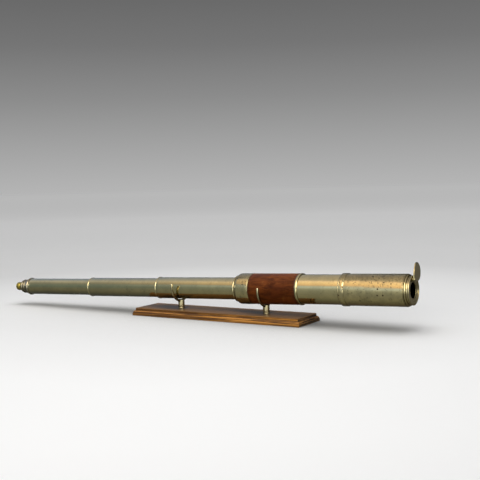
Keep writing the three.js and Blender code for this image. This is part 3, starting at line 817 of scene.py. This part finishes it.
def post(side, x, rod):
    """A turned post with a bed for its fork across the top and a hole for its screw."""
    low, high = (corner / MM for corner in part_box(f"post_{side}"))
    radius = (high.x - low.x) / 2
    outline = [(low.z, 0)] + [(low.z + height, radius - back) for height, back in POST_FOOT]
    outline += [(high.z - POST_CHAMFER, radius - POST_WAIST), (high.z, radius - POST_CHAMFER), (high.z, 0)]
    upright = standing_place(x * MM)
    made = lathe(f"post_{side}_fine", softened(counter_clockwise(outline), 0.35), upright, 64)
    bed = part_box(f"fork_{side}")[0].z / MM + rod
    groove = rod + FORK_LET_IN
    lying = place(Vector((x, 0, bed)) * MM, ACROSS, Vector((0, 0, 1)), Vector((1, 0, 0)))
    trough = round_cutter("trough", -TROUGH_REACH, TROUGH_REACH, groove, lying, 40)
    mouth = box_cutter("mouth", Vector((x - groove, -TROUGH_REACH, bed)) * MM,
                       Vector((x + groove, TROUGH_REACH, bed + 9)) * MM)
    _, screw_tip, _ = reach_of(f"post_screw_{side}", upright)
    hole = round_cutter("hole", low.z - 1, screw_tip + 1, POST_BORE, upright)
    show(carved(made, trough, mouth, hole), f"post_{side}", "pale_brass")


def post_screw(side, x):
    """The screw that holds a post from under the board."""
    upright = standing_place(x * MM)
    rear, front, _ = reach_of(f"post_screw_{side}", upright)
    shank, head, under = (POST_SCREW[key] for key in ("shank", "head", "under_head"))
    outline = [(rear, 0), (rear, head), (under, head), (under, shank), (front, shank), (front, 0)]
    screw = lathe(f"post_screw_{side}_fine", softened(counter_clockwise(outline), 0.3), upright, 40)
    slot = slot_cutter(upright, rear - SLOT["bar"] + SLOT["depth"], 6, POST_SCREW["slot_turn"][side])
    show(carved(screw, slot), f"post_screw_{side}", "pale_brass")


def cradle(side):
    low, high = (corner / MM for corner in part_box(f"fork_{side}"))
    x, rod = (low.x + high.x) / 2, (high.x - low.x) / 2
    fork(side, x, rod)
    post(side, x, rod)
    post_screw(side, x)


# The board's moulded edge: the heights of its lower and upper fascia, how far the upper one stands back,
# the rounding of its foot, and the cove's lip, depth, rise and height above the lower fascia.
EDGE = {"lower": 4.6, "upper": 4.6, "inset": 5.0, "foot": 0.4}
COVE = {"lip": 0.6, "depth": 4.0, "rise": 5.0, "above": 0.4}


def board_profile(height):
    """(inset, height) up the board's moulded edge: lower fascia, cove and upper fascia."""
    foot, lower, inset = EDGE["foot"], EDGE["lower"], EDGE["inset"]
    cove = []
    for degrees in (0, 30, 60, 90):
        angle = math.radians(degrees)
        cove.append((COVE["lip"] + COVE["depth"] * (1 - math.cos(angle)),
                     lower + COVE["above"] + COVE["rise"] * math.sin(angle)))
    return [(foot, 0), (0, foot), (0, lower)] + cove + [(inset, height - EDGE["upper"]), (inset, height)]


INNER = -60.0  # well inside the board's edge, where its outline is closed
COUNTERBORE = {"depth": 4, "radius": 4.5}


def board():
    low, high = (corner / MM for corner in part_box("base_board"))
    height = high.z - low.z
    section = [(-inset, z) for inset, z in board_profile(height)] + [(INNER, height), (INNER, 0)]
    section = softened(section, 0.5, steps=3)
    # Each point's value is its rubbing, or below 0 the painted shade of the cove.
    edge = [(point, worn) for point, worn in zip(section, wear_and_shade_along(section)) if point[0] > INNER / 2]
    rings = []
    for (out, z), _ in edge:
        rings.append([Vector((x, y, z)) * MM for x, y in worn_rectangle(high.x + out, high.y + out, z)])
    bm = bmesh.new()
    rows = skin(bm, rings, [worn for _, worn in edge], closed=False)
    bm.faces.new(rows[0])
    bm.faces.new(rows[-1])
    made = finished("base_board_fine", bm, Matrix.Identity(4), sharp=30)
    depth, wide = COUNTERBORE["depth"], COUNTERBORE["radius"]
    hole = [(-1, 0), (height + 1, 0), (height + 1, POST_BORE), (depth, POST_BORE), (depth, wide), (-1, wide)]
    cutters = []
    for side in ("left", "right"):
        upright = standing_place(middle_of(f"post_{side}").x)
        cutters.append(lathe("screw_hole", hole, upright, 32))
    show(carved(made, *cutters), "base_board", "oak")


LONG_PARTS, SHORT_PARTS = 44, 10  # the stretches that a long and a short edge are cut up into
EDGE_WEAR = 0.12


def worn_rectangle(half_x, half_y, z):
    """A rectangle with slightly rounded corners whose edges are faintly uneven."""
    corner, steps = 0.9, 4
    points = []
    for sign_x, sign_y, start in ((1, 1, 0), (-1, 1, 90), (-1, -1, 180), (1, -1, 270)):
        middle = Vector((sign_x * (half_x - corner), sign_y * (half_y - corner)))
        for k in range(steps + 1):
            angle = math.radians(start + 90 * k / steps)
            points.append(middle + Vector((math.cos(angle), math.sin(angle))) * corner)
    ring = []
    for i, point in enumerate(points):
        after = points[(i + 1) % len(points)]
        is_side = i % (steps + 1) == steps
        parts = (LONG_PARTS if i // (steps + 1) % 2 == 0 else SHORT_PARTS) if is_side else 1
        ring.extend(point.lerp(after, k / parts) for k in range(parts))
    return [worn_point(point, z) for point in ring]


def worn_point(point, z):
    """The point, moved inwards by as much as the edge is worn there."""
    worn = EDGE_WEAR * abs(noise.noise(Vector((point.x / 19, point.y / 19, z / 4))))
    return (point.x - math.copysign(worn, point.x), point.y - math.copysign(worn, point.y))


cradle("left")
cradle("right")
board()

# ---------------------------------------------------------------------------- floor and light

BLACK = rgb(0, 0, 0)
PAPER = rgb(0.8, 0.8, 0.8)
FLOOR_REACH = 20.0
HORIZON_GREY = 0.46
# The floor's own glow by distance from the stand in metres. It makes up for the light that falls off.
FLOOR_GLOW = ((0.0, 0.05), (0.3, 0.10), (0.6, 0.14), (0.85, 0.12), (1.1, 0.075), (1.4, 0.11), (1.75, 0.16),
              (2.2, 0.22), (2.8, 0.30), (3.5, 0.385), (4.6, 0.455), (14.0, 0.48), (FLOOR_REACH, HORIZON_GREY))
# The painted shadow that the object lays on the floor: how far it reaches and how dark it is, near the middle and
# further out.
CONTACT_REACH, CONTACT_DEPTH, CONTACT_RANGE = 0.3, (1.15, 0.45), (0.25, 0.6)
# The backdrop's grey by height, as a share of the floor's reach.
SKY_GREYS = ((0.0, HORIZON_GREY), (0.05, 0.37), (0.11, 0.26), (0.17, 0.178), (0.23, 0.136))


def greys(stops):
    return [(at, (grey, grey, grey)) for at, grey in stops]


def floor_material():
    """Pale matt paper with a faint glow that keeps its far side from going dark, and a painted shadow where the
    object is near.
    """
    f = Finish("floor", Roughness=1.0, Specular_IOR_Level=0.0, Emission_Strength=1.0)
    distance = f.node("ShaderNodeVectorMath", {0: f.place}, operation="LENGTH").outputs["Value"]
    share = f.math("SQRT", f.math("DIVIDE", distance, FLOOR_REACH))
    glow = f.ramp(share, greys((math.sqrt(d / FLOOR_REACH), grey) for d, grey in FLOOR_GLOW))
    # Painted shadow: the floor's colour and glow are darkened where nearby parts hide its sky.
    open_sky = f.node("ShaderNodeAmbientOcclusion", {"Distance": CONTACT_REACH}, samples=12).outputs["AO"]
    shade = f.math("POWER", open_sky, f.between(distance, *CONTACT_RANGE, *CONTACT_DEPTH))
    return f.drive(Base_Color=f.mixed(shade, BLACK, PAPER), Emission_Color=f.mixed(shade, BLACK, glow))


def floor():
    bm = bmesh.new()
    bmesh.ops.create_circle(bm, cap_ends=True, segments=96, radius=FLOOR_REACH)
    made = finished("floor", bm, Matrix.Identity(4))
    made.data.materials.append(floor_material())
    made.visible_glossy = made.visible_diffuse = False


def sky():
    """A dome seen only by the camera: grey at the horizon and darker upwards."""
    bm = bmesh.new()
    bmesh.ops.create_uvsphere(bm, u_segments=96, v_segments=48, radius=FLOOR_REACH)
    bmesh.ops.delete(bm, geom=[v for v in bm.verts if v.co.z < -0.01], context="VERTS")
    made = finished("sky", bm, Matrix.Identity(4))
    f = Finish("sky", Base_Color=BLACK, Specular_IOR_Level=0.0, Emission_Strength=1.0)
    height = f.math("DIVIDE", f.part(f.place, "Z"), FLOOR_REACH)
    made.data.materials.append(f.drive(Emission_Color=f.ramp(height, greys(SKY_GREYS))))
    made.visible_glossy = made.visible_diffuse = False
    made.visible_shadow = made.visible_transmission = False


# What the brass mirrors, by the angle in degrees above the horizon on the camera's side, going over the
# top to the far side and back underneath: towards the eyepiece end, and straight across. ROOM_SIDES are
# the directions along X where the one ends and the other begins.
ROOM = (
    (-180, (0.06, 0.055, 0.05), (0.06, 0.055, 0.05)),
    (-165, (0.07, 0.065, 0.06), (0.07, 0.065, 0.06)),
    (-143, (0.045, 0.05, 0.055), (0.05, 0.045, 0.038)),
    (-122, (0.045, 0.053, 0.06), (0.053, 0.046, 0.038)),
    (-96, (0.06, 0.065, 0.065), (0.08, 0.07, 0.05)),
    (-73, (0.095, 0.095, 0.09), (0.128, 0.126, 0.10)),
    (-50, (0.125, 0.127, 0.12), (0.18, 0.177, 0.15)),
    (-25, (0.135, 0.145, 0.145), (0.21, 0.213, 0.20)),
    (-3, (0.13, 0.165, 0.19), (0.26, 0.27, 0.265)),
    (9, (0.145, 0.18, 0.21), (0.34, 0.36, 0.375)),
    (13, (0.155, 0.19, 0.22), (0.44, 0.48, 0.54)),
    (21, (0.16, 0.195, 0.225), (0.53, 0.60, 0.73)),
    (29, (0.18, 0.205, 0.235), (0.57, 0.60, 0.69)),
    (33, (0.19, 0.21, 0.24), (0.72, 0.55, 0.47)),
    (41, (0.22, 0.235, 0.255), (0.95, 0.67, 0.46)),
    (57, (0.31, 0.31, 0.34), (1.18, 0.88, 0.64)),
    (67, (0.40, 0.40, 0.45), (1.20, 0.91, 0.71)),
    (73, (0.42, 0.42, 0.50), (1.02, 0.78, 0.67)),
    (79, (0.42, 0.42, 0.50), (0.58, 0.50, 0.46)),
    (92, (0.36, 0.38, 0.48), (0.52, 0.45, 0.42)),
    (117, (0.24, 0.29, 0.45), (0.43, 0.38, 0.38)),
    (152, (0.16, 0.19, 0.23), (0.28, 0.28, 0.30)),
    (166, (0.07, 0.07, 0.065), (0.09, 0.085, 0.08)),
    (180, (0.06, 0.055, 0.05), (0.06, 0.055, 0.05)),
)
ROOM_SIDES = (-0.70, -0.40)
ROOM_STRENGTH = 2.0
# How far the light's angle turns, in degrees: between two directions along X, from one turn to the other.
SLOPES = ((-0.60, -0.46, -9, 0), (-0.43, -0.39, 0, 13))
# Bright windows that only rounded rims, beads and rods mirror: one beyond the objective end and a low
# one beyond the eyepiece end. Each has the direction along X where it starts and where it is in full
# view, its strength, and its light by angle as in ROOM.
WINDOWS = (
    (-0.30, -0.02, 2.3, ((-180, 0.012), (-165, 0.014), (-145, 0.0), (-10, 0.0), (14, 0.4), (28, 0.1),
                         (44, 0.9), (68, 1.0), (80, 0.1), (105, 0.0))),
    (-0.74, -0.84, 1.3, ((2, 0.0), (10, 0.8), (26, 1.0), (32, 0.1), (44, 0.0))),
)


def by_angle(rows):
    """Ramp stops of rows that begin with an angle from -180 to 180 degrees."""
    return [((degrees + 180) / 360, colour) for degrees, colour in rows]


def room():
    """The world, which only reflections see."""
    world = bpy.data.worlds.new("studio")
    bpy.context.scene.world = world
    world.use_nodes = True
    f = Nodes(world.node_tree)
    split = f.node("ShaderNodeSeparateXYZ", {0: f.coordinates.outputs["Generated"]})
    along = split.outputs["X"]
    angle = f.math("ARCTAN2", split.outputs["Z"], f.math("MULTIPLY", split.outputs["Y"], -1.0))
    turn = f.math("ADD", f.math("DIVIDE", angle, 2 * math.pi), 0.5)
    for start, end, first, last in SLOPES:
        turn = f.math("ADD", turn, f.between(along, start, end, first / 360, last / 360))
    far = f.ramp(turn, by_angle((degrees, colour) for degrees, colour, _ in ROOM))
    near = f.ramp(turn, by_angle((degrees, colour) for degrees, _, colour in ROOM))
    colour = f.mixed(f.between(along, *ROOM_SIDES), far, near)
    for start, full, strength, stops in WINDOWS:
        light = f.ramp(turn, by_angle(greys(stops)))
        inputs = {0: light, "Scale": f.between(along, start, full, 0.0, strength)}
        light = f.node("ShaderNodeVectorMath", inputs, operation="SCALE").outputs["Vector"]
        colour = f.mixed(1.0, colour, light, "ADD")
    background = world.node_tree.nodes["Background"]
    f.feed(background.inputs["Color"], colour)
    background.inputs["Strength"].default_value = ROOM_STRENGTH
    world.cycles_visibility.diffuse = False


WHITE, WARM = (1, 1, 1), (1, 0.96, 0.9)
# The softboxes: where each hangs and what it points at in metres, its size, its watts, its colour and the
# degrees that its light spreads over.
SOFTBOXES = {
    "overhead": ((-0.05, -0.2, 3.0), (-0.05, -0.2, 0), (3.2, 4.0), 94, WHITE, 180),
    "front": ((0.48, -0.8, 1.2), (0.45, -0.7, 0), (0.8, 0.8), 3.0, WHITE, 180),
    "low_fill": ((0.6, -2.4, 0.7), (0.0, 0.0, 0.1), (1.8, 0.7), 5, WARM, 80),
}


def softbox(name, at, towards, size, power, colour, spread):
    """An area light, level from side to side, that lights matt surfaces and isn't mirrored."""
    light = bpy.data.lights.new(name, "AREA")
    light.shape, light.size, light.size_y = "RECTANGLE", size[0], size[1]
    light.energy, light.color, light.spread = power, colour, math.radians(spread)
    made = bpy.data.objects.new(name, light)
    bpy.context.scene.collection.objects.link(made)
    back = (Vector(at) - Vector(towards)).normalized()
    level = (Vector((1, 0, 0)) - back * back.x).normalized()
    made.matrix_world = place(Vector(at), level, back.cross(level), back)
    made.visible_camera = made.visible_glossy = False


floor()
sky()
room()
for softbox_name, settings in SOFTBOXES.items():
    softbox(softbox_name, *settings)
bpy.context.scene.view_settings.view_transform = "Standard"
bpy.context.scene.view_settings.look = "None"

# ---------------------------------------------------------------------------- camera

# The eye's place in metres, and its aim in degrees: the angle round the object, the angle above level
# and the roll of the picture.
EYE = Vector((0.9674, -1.5059, 0.2838))
AIM = {"azimuth": 31.49, "elevation": 4.084, "roll": -1.457}
LENS, SENSOR = 67.3, 36.0


def make_camera():
    azimuth, elevation, roll = (math.radians(AIM[k]) for k in ("azimuth", "elevation", "roll"))
    back = Vector((math.sin(azimuth) * math.cos(elevation), -math.cos(azimuth) * math.cos(elevation),
                   math.sin(elevation)))
    right = Vector((math.cos(azimuth), math.sin(azimuth), 0))
    up = back.cross(right)
    rolled_right = right * math.cos(roll) + up * math.sin(roll)
    rolled_up = up * math.cos(roll) - right * math.sin(roll)
    camera = bpy.data.objects.new("camera", bpy.data.cameras.new("camera"))
    bpy.context.scene.collection.objects.link(camera)
    camera.matrix_world = place(EYE, rolled_right, rolled_up, back)
    camera.data.lens, camera.data.sensor_width = LENS, SENSOR
    camera.data.clip_start, camera.data.clip_end = 0.05, 200
    bpy.context.scene.camera = camera


make_camera()
